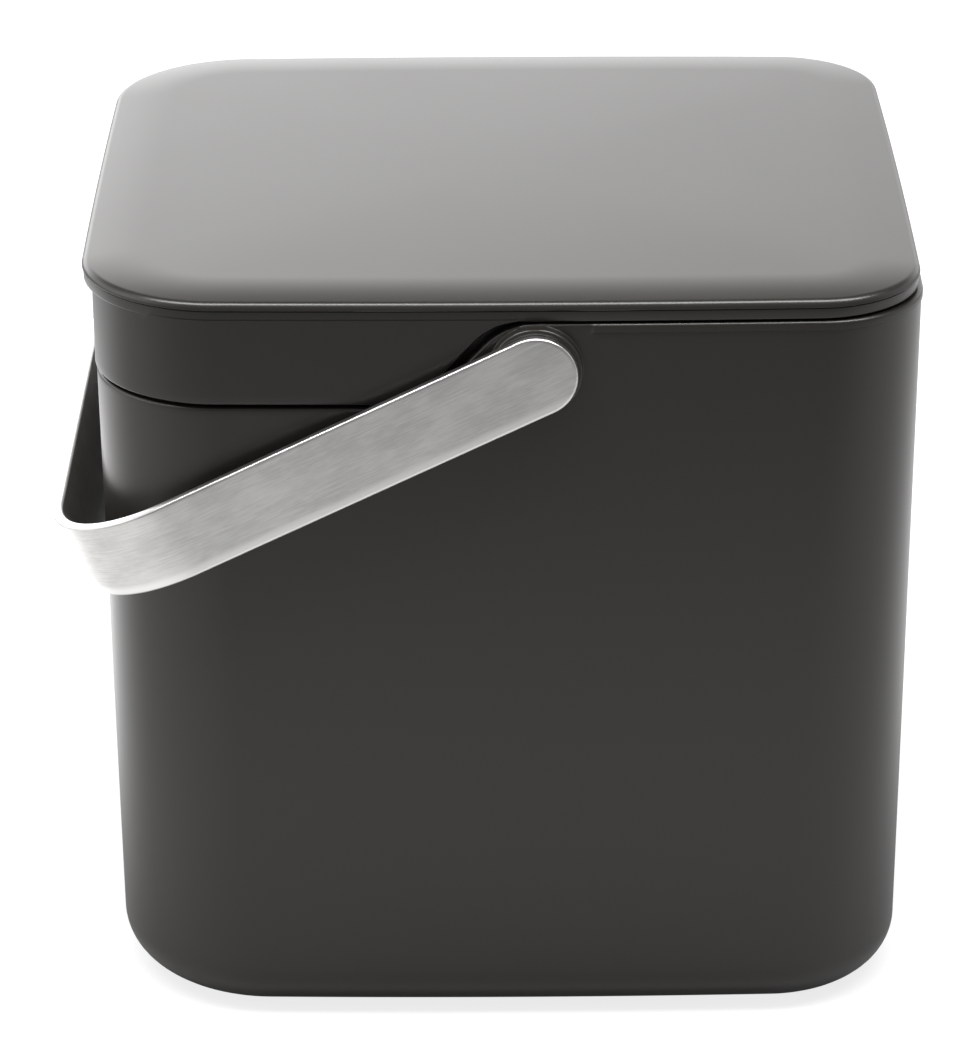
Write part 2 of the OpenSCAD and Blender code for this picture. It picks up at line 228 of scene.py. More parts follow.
GROUPS = {
    "caddy_bucket": CaddyBucketSettings,
    "caddy_lid": CaddyLidSettings,
    "caddy_handle": CaddyHandleSettings,
    "caddy_finish": CaddyFinishSettings,
    "caddy_stage": CaddyStageSettings,
}


# ---- Outlines and lines ----


def blend_in(x, low, high):
    """Smooth step: 0 below low, 1 above high, and 3t^2 - 2t^3 of the way t between them."""
    t = np.clip((x - low) / (high - low), 0, 1)
    return t * t * (3 - 2 * t)


def quarter(cx, cy, r, start, steps):
    """A quarter circle round (cx, cy): each point is the middle plus r times the cosine and sine of its angle."""
    a = np.radians(start + np.linspace(0, 90, steps))
    return np.column_stack([cx + r * np.cos(a), cy + r * np.sin(a)])


def rounded_plan(size_y, size_x, front_r, back_r, sides, corner=26, end=22):
    """A rounded rectangle, counter-clockwise from the back right corner: four quarter circles joined by straight
    lines. Each long side runs through the same Y places, so that rings of different sizes match point for point."""
    x, y = size_x / 2, size_y / 2
    across = np.linspace(1, -1, end + 2)[1:-1]
    back = np.column_stack([across * (x - back_r), np.full(end, y)])
    front = np.column_stack([-across * (x - front_r), np.full(end, -y)])
    left = np.column_stack([np.full(len(sides), -x), sides[::-1]])
    right = np.column_stack([np.full(len(sides), x), sides])
    return np.vstack([
        quarter(x - back_r, y - back_r, back_r, 0, corner),
        back,
        quarter(back_r - x, y - back_r, back_r, 90, corner),
        left,
        quarter(front_r - x, front_r - y, front_r, 180, corner),
        front,
        quarter(x - front_r, front_r - y, front_r, 270, corner),
        right,
    ])


def swell(points, size_y, size_x, side, end):
    """Draws an outline in towards its corners: with u and v the shares of the half width and half length, a point
    moves in by side times (uv)^2 across and by end times (uv)^2 along, so the sides swell in the middle."""
    uv = (2 * points[:, 0] / size_x) * (2 * points[:, 1] / size_y)
    return points - np.sign(points) * np.column_stack([side * uv**2, end * uv**2])


class RimLine:
    """The stepped rim seen from the side: level, a hollow arc, a straight slope, a round shoulder, level."""

    def __init__(self, b):
        self.slope = b.step_angle
        self.low = b.rim_h - b.rim_drop
        self.high = b.rim_h
        self.shoulder_r, self.foot_r = b.shoulder_r, b.foot_r
        self.shoulder = np.array([PIVOT.y, b.rim_h - b.shoulder_r])
        foot_z = self.low + b.foot_r
        rise = foot_z - self.shoulder[1]
        self.foot = np.array([
            self.shoulder[0] - (b.shoulder_r + b.foot_r - rise * np.cos(self.slope)) / np.sin(self.slope), foot_z
        ])

    def height(self, y, gap=0.0, shift=0.0):
        """Height of the line moved out by gap and forward by shift, at each y. Each arc is its middle's height plus
        or minus the square root of r^2 - dy^2; the slope between them is the tangent line of both."""
        y = np.asarray(y, float) + shift
        s, c = np.sin(self.slope), np.cos(self.slope)
        rf, rs = self.foot_r - gap, self.shoulder_r + gap
        foot_end = self.foot[0] + rf * s
        shoulder_start = self.shoulder[0] - rs * s
        hollow = self.foot[1] - np.sqrt(np.maximum(rf**2 - (y - self.foot[0]) ** 2, 0))
        round_top = self.shoulder[1] + np.sqrt(np.maximum(rs**2 - (y - self.shoulder[0]) ** 2, 0))
        straight = self.foot[1] - rf * c + (y - foot_end) * np.tan(self.slope)
        z = np.where(y < self.foot[0], self.low + gap, hollow)
        z = np.where(y >= foot_end, straight, z)
        z = np.where(y >= shoulder_start, round_top, z)
        return np.where(y >= self.shoulder[0], self.high + gap, z)


def side_places(line):
    """Y places along the long sides: coarse, but fine over the rim's step and finer still where the band starts."""
    step = np.arange(line.foot[0] - 0.004, PIVOT.y + 0.003, FINE)
    front = np.arange(-0.058, step[0] - 0.0005, COARSE)
    start = PIVOT.y + BAND_START
    band = np.arange(start - 2 * BAND_BLEND, start + 2 * BAND_BLEND, BAND_FINE)
    middle = np.arange(step[-1] + 0.0006, band[0] - 0.0003, COARSE)
    back = np.arange(band[-1] + 0.0008, 0.064, COARSE)
    return np.concatenate([front, step, middle, band, back])


def bucket_plan(b, line, inset, depth):
    """The bucket's outline at a depth below the rim and an inset from its outer face. A corner's radius is the rim's,
    plus the corner growth times the share of the rim's height that the depth is, less the inset."""
    size_y, size_x = b.rim_len - 2 * inset, b.rim_w - 2 * inset
    grow = b.corner_growth * depth / b.rim_h - inset
    return swell(
        rounded_plan(size_y, size_x, b.front_r + grow, b.back_r + grow, side_places(line)),
        size_y, size_x, b.side_swell, b.end_swell,
    )


def lid_middle(l):
    """The middle of the lid's outline, as a point on the floor."""
    return np.array([0, -(l.front_out + l.back_in) / 2, 0])


def lid_plan(b, l, inset):
    """The lid's outline at an inset, moved forward of the bucket's middle."""
    size_y = b.rim_len + l.front_out - l.back_in - 2 * inset
    size_x = b.rim_w + 2 * l.side_out - 2 * inset
    sides = np.linspace(-0.062, 0.072, 40)
    radii = [max(r - inset, l.edge_r) for r in (l.front_r, l.back_r)]
    plan = swell(rounded_plan(size_y, size_x, *radii, sides), size_y, size_x, b.side_swell, b.end_swell)
    return plan + lid_middle(l)[:2]


def level_ring(plan, z):
    """An outline's points at one height."""
    return np.column_stack([plan, np.full(len(plan), z)])


def toward(ring, share, middle):
    """A ring drawn towards a middle point: the middle plus a share of the way out to each point, heights kept."""
    return middle + (ring - middle) * (share, share, 1)


def drawn_in(ring, middle, shares):
    """The rings that fill a flat face inside a ring."""
    return [toward(ring, share, middle) for share in shares]


# ---- Meshes ----


def grid_quads(rows, cols):
    """Quads of a row-major grid of points, numbered row * cols + column, where each row's end joins its start."""
    i, j = np.meshgrid(np.arange(rows - 1), np.arange(cols), indexing="ij")
    a, b = i * cols + j, i * cols + (j + 1) % cols
    return np.stack([a, b, b + cols, a + cols], -1).reshape(-1, 4)


def new_piece(name, points, faces, sharp=40):
    """An object with these points and faces, smooth but for edges sharper than the given angle in degrees."""
    mesh = bpy.data.meshes.new(name)
    mesh.from_pydata(np.asarray(points, float).tolist(), [], [list(map(int, f)) for f in faces])
    mesh.validate()
    piece = bpy.data.objects.new(name, mesh)
    bpy.context.scene.collection.objects.link(piece)
    smooth(piece, sharp)
    return piece


def smooth(piece, sharp):
    """Shades a piece smooth, but for edges sharper than the given angle in degrees."""
    piece.data.polygons.foreach_set("use_smooth", np.ones(len(piece.data.polygons), bool))
    piece.data.set_sharp_from_angle(angle=float(np.radians(sharp)))
    piece.data.update()


def lofted(name, rings, sharp=40):
    """A closed skin over a stack of closed rings, with a flat face on the first and the last."""
    rings = np.asarray(rings)
    rows, cols = rings.shape[:2]
    last = (rows - 1) * cols
    caps = [list(range(cols - 1, -1, -1)), list(range(last, last + cols))]
    return new_piece(name, rings.reshape(-1, 3), grid_quads(rows, cols).tolist() + caps, sharp)


def prism(name, outline, x0, x1, bevel=0.0):
    """A solid along X from x0 to x1, whose section is an outline in Y and Z, counter-clockwise seen from +X."""
    outline = np.asarray(outline, float)
    flat = [np.column_stack([np.full(len(outline), x), outline]) for x in (x0, x1)]
    piece = lofted(name, flat, sharp=30)
    if bevel:
        edge = piece.modifiers.new("Edges", "BEVEL")
        edge.width, edge.segments, edge.limit_method, edge.angle_limit = bevel, 3, "ANGLE", float(np.radians(50))
        settle(piece)
    return piece


def rod(name, x0, x1, r, y, z, sides=64):
    """A round bar along X: its section is the middle plus r times the cosine and sine of each angle."""
    a = np.linspace(0, 2 * np.pi, sides, endpoint=False)
    return prism(name, np.column_stack([y + r * np.cos(a), z + r * np.sin(a)]), x0, x1)


def settle(piece):
    """Applies the piece's modifiers to its mesh."""
    shown = piece.evaluated_get(bpy.context.evaluated_depsgraph_get())
    made = bpy.data.meshes.new_from_object(shown)
    piece.modifiers.clear()
    old, piece.data = piece.data, made
    bpy.data.meshes.remove(old)


def combine(piece, others, operation):
    """Adds or cuts other solids, one after another, and removes them."""
    for other in others:
        step = piece.modifiers.new("Step", "BOOLEAN")
        step.solver, step.operation, step.object = "EXACT", operation, other
        bpy.context.view_layer.update()
        settle(piece)
        bpy.data.objects.remove(other)


def mirrored(make):
    """The solid that make(sign) builds on each side."""
    return [make(1), make(-1)]


def about(sign, x0, x1):
    """The span from x0 to x1 on the right, or its mirror image on the left."""
    return (x0, x1) if sign > 0 else (-x1, -x0)


def rods_each_side(name, x0, x1, r, place, sides=64):
    """Two round bars along X, mirror images of each other, round the Y and Z of a place."""
    return mirrored(lambda s: rod(name, *about(s, x0, x1), r, place.y, place.z, sides))


def outward(piece):
    """Turns a closed piece's faces to point outwards."""
    mesh = bmesh.new()
    mesh.from_mesh(piece.data)
    bmesh.ops.recalc_face_normals(mesh, faces=mesh.faces)
    mesh.to_mesh(piece.data)
    mesh.free()


def finish_piece(piece, body, node, material):
    """Puts a piece on its body in place of its node, and gives it its slot and material."""
    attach(piece, body)
    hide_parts(node)
    piece.data.materials.clear()
    piece.data.materials.append(material)


# ---- Shader maths ----


class Value:
    """A number that changes over a surface: it wraps an output socket, and sums and products of it add Math nodes."""

    def __init__(self, finish, socket):
        self.finish, self.socket = finish, socket

    def _maths(self, operation, a, b):
        return self.finish.node("ShaderNodeMath", {"operation": operation}, {0: a, 1: b})

    def __add__(self, other):
        return self._maths("ADD", self, other)

    def __sub__(self, other):
        return self._maths("SUBTRACT", self, other)

    def __mul__(self, other):
        return self._maths("MULTIPLY", self, other)

    def __rsub__(self, other):
        return self._maths("SUBTRACT", other, self)

    __radd__ = __add__
    __rmul__ = __mul__


class Finish:
    """A node material. node() sets a new node's settings first, and then the values or links of its sockets."""

    def __init__(self, name, tree=None):
        if tree is None:
            self.material = bpy.data.materials.new(name)
            self.material.use_nodes = True
            tree = self.material.node_tree
        tree.nodes.clear()
        self.tree = tree

    def node(self, kind, settings=None, inputs=None, output=0):
        """Adds a node and gives the chosen output, if it has any."""
        made = self.tree.nodes.new(kind)
        for key, value in (settings or {}).items():
            setattr(made, key, value)
        for key, value in (inputs or {}).items():
            if isinstance(value, Value):
                self.tree.links.new(value.socket, made.inputs[key])
            else:
                made.inputs[key].default_value = value
        return Value(self, made.outputs[output]) if made.outputs else None

    def noise(self, vector, scale, detail=2.0, rough=0.5):
        """A cloudy pattern from 0 to 1, with its marks about 1 / scale metres apart."""
        sockets = {"Vector": vector, "Scale": scale, "Detail": detail, "Roughness": rough}
        return self.node("ShaderNodeTexNoise", {}, sockets)

    def stretched(self, vector, scale):
        """A place multiplied by a scale along each axis."""
        return self.node("ShaderNodeMapping", {}, {"Vector": vector, "Scale": scale})

    def axis(self, vector, k):
        """One part of a place: 0 for X, 1 for Y and 2 for Z."""
        return self.node("ShaderNodeSeparateXYZ", {}, {0: vector}, output=k)

    def mix(self, factor, first, second):
        """A colour between two: the first at 0 and the second at 1."""
        return self.node("ShaderNodeMix", {"data_type": "RGBA"}, {"Factor": factor, 6: first, 7: second}, output=2)

    def shade(self, factor, dark, light):
        """A colour between two that are given as red, green and blue."""
        return self.mix(factor, (*dark, 1), (*light, 1))

    def ramp(self, value, start, end, low, high):
        """A smooth step of a value: low at start, high at end, and constant outside them."""
        sockets = {"Value": value, 1: start, 2: end, 3: low, 4: high}
        return self.node("ShaderNodeMapRange", {"interpolation_type": "SMOOTHSTEP"}, sockets)

    def bump(self, height, strength, distance):
        """A normal that leans with the slope of a height."""
        return self.node("ShaderNodeBump", {}, {"Strength": strength, "Distance": distance, "Height": height})

    def surface(self, **sockets):
        """The finished material: each name, such as base_color, is a socket of the shader, such as Base Color."""
        names = {key.replace("_", " ").title(): value for key, value in sockets.items()}
        shader = self.node("ShaderNodeBsdfPrincipled", {}, names)
        self.node("ShaderNodeOutputMaterial", {}, {"Surface": shader})
        return self.material


def scaled(rgb, k):
    """A colour times k, and no channel above 1."""
    return tuple(min(1.0, k * c) for c in rgb)


def moulded_plastic(name, rgb, rough, grain=0.05):
    """Satin moulded plastic: a faint cloudiness of the colour, a fine spark-eroded grain and a soft uneven sheen."""
    f = Finish(name)
    place = f.node("ShaderNodeTexCoord", output=3)
    cloud = f.noise(place, 14, 3)
    fine = f.noise(place, 2600, 2, 0.6)
    medium = f.noise(place, 420, 2, 0.6)
    sheen = rough - 0.02 + cloud * 0.03 + fine * 0.02
    bump = f.bump(fine * 0.6 + medium * 0.4, grain, 0.00004)
    return f.surface(
        base_color=f.shade(cloud, scaled(rgb, 0.95), scaled(rgb, 1.05)),
        roughness=sheen,
        normal=bump,
    )


def brushed_steel(name, rgb, rough, half_width):
    """Stainless steel brushed along the strap: fine long streaks in the tone, the sheen and the normal, cloudy
    patches where the brushing pressed harder, and a painted highlight, a lighter base colour along the lower edge
    that stands in for its bright reflection. The pattern follows the strap's own map, in metres along and across it."""
    f = Finish(name)
    place = f.node("ShaderNodeTexCoord", output=2)
    across = f.axis(place, 1)
    long = f.noise(f.stretched(place, (40, 4200, 1)), 1, 3, 0.65)
    short = f.noise(f.stretched(place, (170, 2100, 1)), 1, 3, 0.6)
    cloud = f.noise(f.stretched(place, (60, 110, 1)), 1, 4, 0.6)
    streaks = long * 0.5 + short * 0.5
    tone = f.ramp(cloud * 0.4 + streaks * 0.6, 0.38, 0.62, 0.0, 1.0)
    # Painted highlight: the base colour lightens along the strap's lower edge, standing in for the bright reflection
    # that edge shows.
    painted_highlight_edge = f.ramp(across * -1, half_width - 0.0034, half_width - 0.0014, 0.0, 1.0)
    bump = f.bump(streaks, 0.3, 0.00004)
    face = f.shade(tone, scaled(rgb, 0.86), scaled(rgb, 1.12))
    return f.surface(
        base_color=f.mix(painted_highlight_edge, face, (*scaled(rgb, 1.35), 1)),
        metallic=1.0,
        roughness=rough - 0.06 + streaks * 0.08 + cloud * 0.06,
        normal=bump,
    )


def turned_steel(name, rgb, rough):
    """Turned stainless steel: fine rings round the X axis of the pins, as a faint change of sheen."""
    f = Finish(name)
    place = f.node("ShaderNodeTexCoord", output=3)
    rings = f.noise(f.stretched(place, (9000, 60, 60)), 1, 2, 0.6)
    return f.surface(
        base_color=f.shade(rings, scaled(rgb, 0.92), scaled(rgb, 1.05)),
        metallic=1.0,
        roughness=rough + rings * 0.08,
        normal=f.bump(rings, 0.15, 0.00002),
    )


# ---- Bucket ----


def bucket_rings(b):
    """The bucket's skin as rings, from the middle of its underside out, up the outer wall, over the stepped rim and
    down the inner wall to the middle of its floor. A ring at inset i and height z is the plan drawn in by
    i + draft * (rim height - z); a rim ring takes its height at each point from the rim line."""
    line = RimLine(b)
    band_y = PIVOT.y + BAND_START
    middle = np.zeros(3)

    def level(inset, z):
        return level_ring(bucket_plan(b, line, inset + b.draft * (b.rim_h - z), b.rim_h - z), z)

    def rim(inset, drop, proud=0.0):
        lean = b.draft * drop
        plain, wide = bucket_plan(b, line, inset + lean, drop), bucket_plan(b, line, inset + lean - proud, drop)
        share = blend_in(plain[:, 1], band_y - BAND_BLEND, band_y + BAND_BLEND)[:, None]
        points = plain + (wide - plain) * share
        height = line.height(plain[:, 1])
        points[:, 0] -= np.sign(points[:, 0]) * b.draft * (b.rim_h - height)
        return np.column_stack([points, height - drop])

    def fillet(inset, z, r, steps=16):
        a = np.radians(np.linspace(90, 0, steps))
        return [level(inset + r * (1 - np.cos(t)), z + r * (1 - np.sin(t))) for t in a]

    def between(a, c, steps):
        return [a + (c - a) * k for k in np.linspace(0, 1, steps + 2)[1:-1]]

    outer, inner = fillet(0, 0, b.base_r), fillet(b.wall, b.floor_t, b.base_r - b.wall)
    foot = rim(0, b.band_h + b.band_proud + 0.0003)
    low = rim(0, b.band_h + b.band_proud)
    high = [rim(0, b.band_h + b.band_proud * 0.5, b.band_proud * 0.5), rim(0, b.band_h, b.band_proud)]
    turn = np.radians(np.linspace(0, 90, 7))
    edge = [rim(b.rim_r * (1 - np.cos(t)), b.rim_r * (1 - np.sin(t)), b.band_proud) for t in turn]
    top = [rim(b.wall - INNER_RIM_R, 0)]
    top += [
        rim(b.wall - INNER_RIM_R * (1 - np.sin(t)), INNER_RIM_R * (1 - np.cos(t))) for t in np.radians((30, 60, 90))
    ]
    rows = 34
    return (
        drawn_in(outer[0], middle, FLOOR_SHARES) + outer + between(outer[-1], foot, rows)
        + [foot, low] + high + edge + top
        + between(top[-1], inner[-1], rows) + inner[::-1] + drawn_in(inner[0], middle, FLOOR_SHARES[::-1])
    )


def boss_solid(b, sign):
    """The round boss on one side: a profile of radius against X, turned round the pivot's axis, with a soft outer
    edge and a small hollow fillet at its foot, and cut off a little below the rim line."""
    start, face = b.rim_w / 2 - b.wall + 0.0005, b.rim_w / 2 + BOSS_STAND
    wall_x = b.rim_w / 2 - b.draft * (b.rim_h - PIVOT.z)
    t = np.radians(np.linspace(0, 90, 7))
    soft = 0.0007
    edge = np.column_stack([b.boss_r - soft + soft * np.cos(t), face - soft + soft * np.sin(t)])
    foot_r = 0.0003
    foot = np.column_stack([b.boss_r + foot_r * (1 - np.sin(t)), wall_x + foot_r * (1 - np.cos(t))])
    tip_r = 0.00005
    profile = np.vstack([[tip_r, start], [b.boss_r + foot_r, start], foot, edge, [tip_r, face]])
    a = np.linspace(0, 2 * np.pi, 128, endpoint=False)
    rings = [
        np.column_stack([np.full(len(a), x), PIVOT.y + r * np.cos(a), PIVOT.z + r * np.sin(a)]) for r, x in profile
    ]
    boss = lofted("boss", rings, sharp=35)
    y = np.arange(PIVOT.y - 0.016, PIVOT.y + 0.016, 0.0004)
    line = np.column_stack([y, RimLine(b).height(y, -0.0005)])
    under_rim = prism("under_rim", np.vstack([[y[0], 0.1], [y[-1], 0.1], line[::-1]]), 0.05, 0.15)
    combine(boss, [under_rim], "INTERSECT")
    if sign < 0:
        flip(boss)
    return boss


def flip(piece):
    """Mirrors a solid across the middle plane, with its faces turned to point outwards again."""
    mesh = bmesh.new()
    mesh.from_mesh(piece.data)
    bmesh.ops.scale(mesh, vec=(-1, 1, 1), verts=mesh.verts)
    bmesh.ops.reverse_faces(mesh, faces=mesh.faces)
    mesh.to_mesh(piece.data)
    mesh.free()
    smooth(piece, sharp=35)


def ear_solid(b, sign):
    """An ear on the back wall: a round nose on the hinge axis, with a bracket that drops behind it to the wall."""
    y, z, r = HINGE.y, HINGE.z, b.ear_r
    a = np.radians(np.linspace(-90, 180, 25))
    nose = np.column_stack([y + r * np.cos(a), z + r * np.sin(a)])
    low, back = z - 2.4 * r, b.rim_len / 2 - 0.0005
    outline = np.vstack([[y - r, low + r * 0.5], [y - r * 0.5, low], [back, low], [back, z - r], nose[1:]])
    return prism("ear", outline, *about(sign, b.notch_half, b.notch_half + b.ear_len), bevel=0.0003)


def build_bucket(b, material):
    """The bucket: its lofted skin, less a notch with two quarter-circle corners in the back rim, with the bosses and
    ears joined on, less the bores for the studs, the recesses for their caps and the holes for the hinge pins."""
    bucket = lofted("caddy_bucket", bucket_rings(b))
    notch_z = HINGE.z - KNUCKLE_R - NOTCH_GAP
    t = np.radians(np.linspace(180, 270, 6))
    w, top, y0, y1 = b.notch_half, b.rim_h + 0.01, HINGE.y - b.wall - 0.0034, HINGE.y + 0.1
    left = np.column_stack([
        -w + NOTCH_CORNER + NOTCH_CORNER * np.cos(t), notch_z + NOTCH_CORNER + NOTCH_CORNER * np.sin(t)
    ])
    outline = np.vstack([left, np.column_stack([-left[::-1, 0], left[::-1, 1]]), [[w, top], [-w, top]]])
    front = np.column_stack([outline[:, 0], np.full(len(outline), y0), outline[:, 1]])
    notch = lofted("notch", [front + (0, y1 - y0, 0), front])
    combine(bucket, [notch], "DIFFERENCE")
    combine(bucket, mirrored(lambda s: boss_solid(b, s)) + mirrored(lambda s: ear_solid(b, s)), "UNION")
    side = b.rim_w / 2
    bores = rods_each_side("bore", side - b.wall - 0.001, side + 0.0039, STUD_BORE_R, PIVOT)
    recesses = rods_each_side("recess", side - b.wall - 0.002, side - 0.0001, CAP_RECESS_R, PIVOT)
    holes = rods_each_side("pin", b.notch_half - 0.001, b.notch_half + b.ear_len + 0.001, PIN_HOLE_R, HINGE, 32)
    combine(bucket, bores + recesses + holes, "DIFFERENCE")
    smooth(bucket, sharp=32)
    finish_piece(bucket, "bucket", "bucket", material)


# ---- Lid ----


def build_cover(b, l, material):
    """The cover: rings up its side, round its edge, over the soft shoulder, whose fall is drop * (1 - d / w)^2 at a
    distance d in from the edge, and on over a very slight crown to the middle."""
    seat = LID_TOP - l.cover_t
    middle = lid_middle(l)
    slope = np.arctan(2 * l.pillow_drop / l.pillow_w * (1 - l.edge_r / l.pillow_w))
    meet = l.edge_r * (1 - np.sin(slope))

    def fall(d):
        return l.pillow_drop * (1 - np.minimum(d / l.pillow_w, 1)) ** 2

    mid_z = LID_TOP - COVER_CROWN - fall(meet) - l.edge_r * np.cos(slope)
    turn = np.linspace(0, np.pi / 2 - slope, 14)
    profile = [(0.0009, seat), (0.00045, seat), (0.00015, seat + 0.00012), (0.0, seat + 0.0004)]
    profile += [(l.edge_r * (1 - np.cos(a)), mid_z + l.edge_r * np.sin(a)) for a in turn]
    inner = meet + (l.pillow_w - meet) * np.linspace(0, 1, 25)[1:] ** 1.2
    profile += [(d, LID_TOP - COVER_CROWN - fall(d)) for d in inner]
    rings = [level_ring(lid_plan(b, l, d), z) for d, z in profile]
    top = rings[-1]
    for k in np.linspace(1, 0.02, 22)[1:]:
        ring = toward(top, k, middle)
        ring[:, 2] = LID_TOP - COVER_CROWN * k**2
        rings.append(ring)
    cover = lofted("caddy_lid_cover", drawn_in(rings[0], middle, CAP_SHARES) + rings)
    finish_piece(cover, "lid", "lid_cover", material)


def hanging_wall(name, plan, keep, top, bottom, inner_plan, r_out, r_in):
    """A wall that hangs from the lid along the points of a plan that keep lists, in its order. Its section runs down
    the outer face, round the lower edge at the given bottom, and up the inner face. Each of its two radii is the one
    asked for, or a third of the wall's height where that is less."""
    a = np.radians(np.linspace(0, 90, 6))
    outer, inner, low = plan[keep], inner_plan[keep], bottom[keep]
    room = np.clip((top - low) / 3, 1e-5, 1)
    ro, ri = np.minimum(r_out, room)[:, None], np.minimum(r_in, room)[:, None]
    inward = inner - outer
    thick = np.linalg.norm(inward, axis=1, keepdims=True)
    inward = inward / thick
    rows = [np.column_stack([outer, top + (low + ro[:, 0] - top) * k]) for k in np.linspace(0, 1, 12)[:-1]]
    for t in a:
        rows.append(np.column_stack([outer + inward * ro * (1 - np.cos(t)), low + ro[:, 0] * (1 - np.sin(t))]))
    for t in a[::-1]:
        rows.append(np.column_stack([inner - inward * ri * (1 - np.cos(t)), low + ri[:, 0] * (1 - np.sin(t))]))
    rows += [np.column_stack([inner, top + (low + ri[:, 0] - top) * k]) for k in np.linspace(1, 0, 6)[1:]]
    points = np.stack(rows, 1)
    n, m = points.shape[:2]
    faces = grid_quads(n, m)[:, ::-1].tolist()
    faces += [list(range(m)), list(range(n * m - 1, (n - 1) * m - 1, -1))]
    wall = new_piece(name, points.reshape(-1, 3), faces)
    outward(wall)
    return wall


def build_frame(b, l, material):
    """The lid's frame: a flange plate with softened edges, the deep front skirt, the inner lip and the knuckle."""
    line = RimLine(b)
    seat = LID_TOP - l.cover_t
    deck = seat - l.flange_t
    middle = lid_middle(l)
    soft = 0.0004
    t = np.radians(np.linspace(0, 90, 4))
    side = [(l.parting + soft * (1 - np.sin(a)), deck + soft * (1 - np.cos(a))) for a in t]
    side += [(l.parting, seat - 0.0002), (l.parting + 0.0002, seat)]
    rings = [level_ring(lid_plan(b, l, d), z) for d, z in side]
    below, above = drawn_in(rings[0], middle, CAP_SHARES), drawn_in(rings[-1], middle, CAP_SHARES[::-1])
    plate = lofted("caddy_lid_frame", below + rings + above)

    root = deck + 0.0005
    skirt_out, skirt_in = (bucket_plan(b, line, inset, 0) for inset in (-l.skirt_proud, l.skirt_t - l.skirt_proud))
    low = line.height(skirt_out[:, 1], l.skirt_gap, l.step_gap)
    skirted = np.flatnonzero((low < root - 0.00025) & (skirt_out[:, 1] < PIVOT.y))
    skirt = hanging_wall("skirt", skirt_out, skirted, root, low, skirt_in, 0.0006, 0.0004)

    lip_inset = b.wall + l.lip_gap
    lip_out, lip_in = (bucket_plan(b, line, inset, 0) for inset in (lip_inset, lip_inset + l.lip_t))
    reach = line.height(lip_out[:, 1], -l.lip_h)
    gap = max(b.notch_half + b.ear_len + 2 * l.lip_gap, b.rim_w / 2 - b.wall - b.back_r / 2)
    there = ~((np.abs(lip_out[:, 0]) < gap) & (lip_out[:, 1] > b.rim_len / 4))
    first = int(np.argmax(~there))
    order = (first + np.arange(len(there))) % len(there)
    order = order[there[order]]
    lip = hanging_wall("lip", lip_out, order, root, reach, lip_in, 0.0003, 0.0003)

    y, z, r = HINGE.y, HINGE.z, l.knuckle_r
    web_y, web_z = y - 3 * r, z + r / 4
    deck_back = (b.rim_len + l.front_out - l.back_in) / 2 + middle[1] - 2 * l.parting
    low = np.linspace(np.pi - np.arcsin(0.25), 2 * np.pi, 33)
    high = np.linspace(np.arcsin(l.heel_h / r), np.arccos((deck_back - y) / r), 12)
    nose, crest = (np.column_stack([y + r * np.cos(a), z + r * np.sin(a)]) for a in (low, high))
    chamfer = 0.0003
    heel_y, heel_z = y + l.heel, z + l.heel_h
    outline = np.vstack([
        [web_y, web_z], nose, [heel_y, z], [heel_y, heel_z - chamfer], [heel_y - chamfer, heel_z],
        crest, [deck_back, root], [web_y, root],
    ])
    half = b.notch_half - KNUCKLE_END_GAP
    knuckle = prism("knuckle", outline, -half, half)
    combine(plate, [skirt, lip, knuckle], "UNION")
    combine(plate, rods_each_side("bore", half - 0.0065, half + 0.02, KNUCKLE_BORE_R, HINGE, 32), "DIFFERENCE")
    smooth(plate, sharp=32)
    finish_piece(plate, "lid", "lid_frame", material)


# ---- Handle ----


def stadium(half, r, d, along, turn):
    """A ring round the flat strap, d in from its edge: two straight runs and two half circles of radius r - d."""
    s = np.linspace(-half, half, along)
    a = np.radians(np.linspace(-90, 90, turn))[1:-1]
    w = r - d
    lower, upper = np.column_stack([s, np.full(along, -w)]), np.column_stack([s[::-1], np.full(along, w)])
    right = np.column_stack([half + w * np.cos(a), w * np.sin(a)])
    left = np.column_stack([-half - w * np.cos(a), -w * np.sin(a)])
    return np.vstack([lower, right, upper, left])


def strap_line(h):
    """The strap's middle line: the radius of its bends, half its straight front, and the straight run of an arm."""
    r = h.bend_r - h.thick / 2
    half, reach = h.half + h.thick / 2, h.reach + h.thick / 2
    return r, half - r, reach - r


def bent(h, s, out):
    """Carries a place s along the strap's middle line, and out from it, round the U. With a the angle turned so far,
    the place is the straight front, then r times sin a across and r times 1 - cos a back, then the straight arm, plus
    the offset times the outward normal (sin a, -cos a). Gives X and Y from the pivot line."""
    r, front, _ = strap_line(h)
    reach = h.reach + h.thick / 2
    quarter_len = r * np.pi / 2
    q = np.abs(s)
    a = np.clip((q - front) / r, 0, np.pi / 2)
    nx, ny = np.sin(a), -np.cos(a)
    x = np.minimum(q, front) + r * np.sin(a)
    y = -reach + r * (1 - np.cos(a)) + np.maximum(q - front - quarter_len, 0)
    x, y = x + nx * out, y + ny * out
    return np.where(s < 0, -x, x), y


